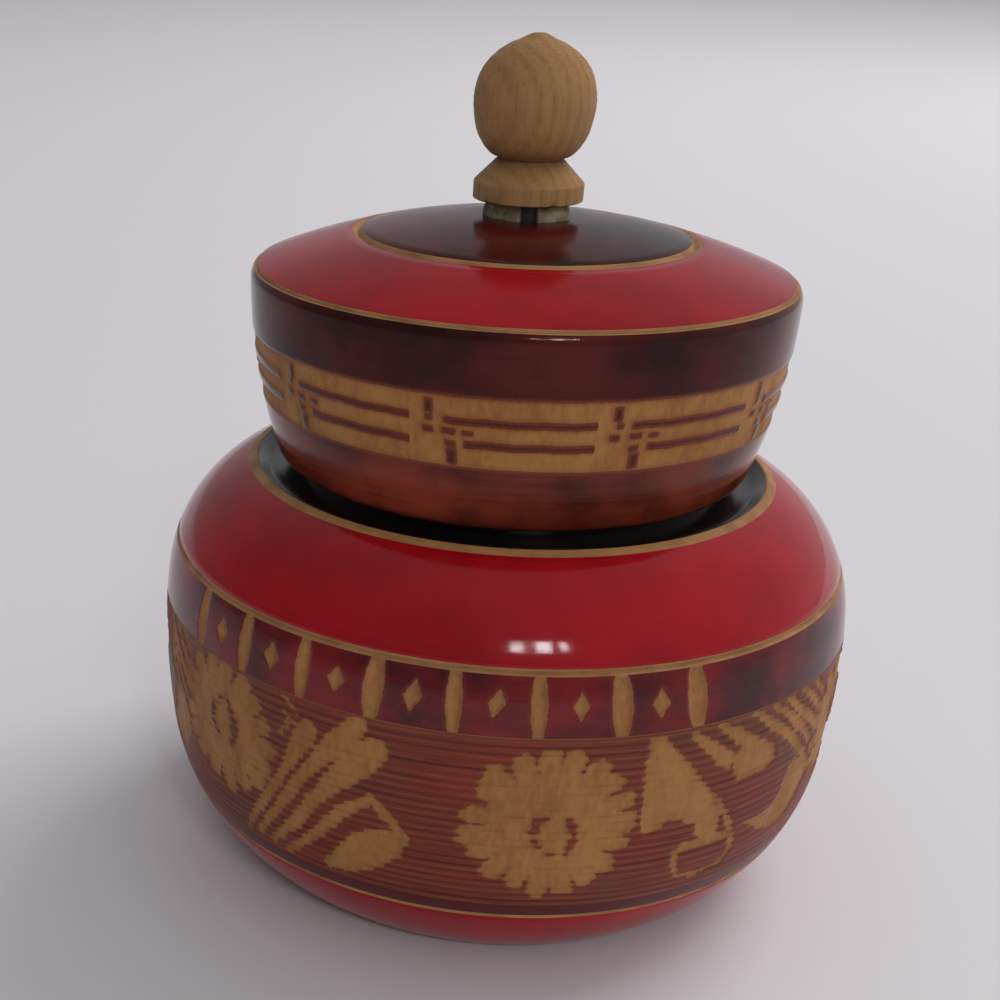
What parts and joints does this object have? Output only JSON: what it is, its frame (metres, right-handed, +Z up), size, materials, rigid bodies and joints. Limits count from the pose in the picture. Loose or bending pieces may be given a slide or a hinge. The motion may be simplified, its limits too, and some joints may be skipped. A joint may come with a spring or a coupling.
{
  "type": "turned wooden box",
  "caption": "Squat round turned box with a flat foot, a flared mouth, a domed lid on a rebated tenon and a glued ball knob.",
  "frame": {"origin": "centre of the flat base, on the surface that the box stands on", "axes": "+Z up along the turning axis; -Y towards the viewer of the picture"},
  "size_m": [0.12, 0.12, 0.1413],
  "materials": {
    "red_lacquer": "gloss",
    "brown_lacquer": "gloss",
    "bare_wood": "matte",
    "dried_glue": "satin"
  },
  "bodies": {
    "box": {"bowl": "red_lacquer"},
    "cover": {"lid": "brown_lacquer", "knob": "bare_wood", "knob_glue": "dried_glue"}
  },
  "joints": [
    {"name": "lid_lift", "type": "slide", "parent": "box", "child": "cover", "axis": [0, 0, 1], "range_m": [0, 0.06]}
  ]
}
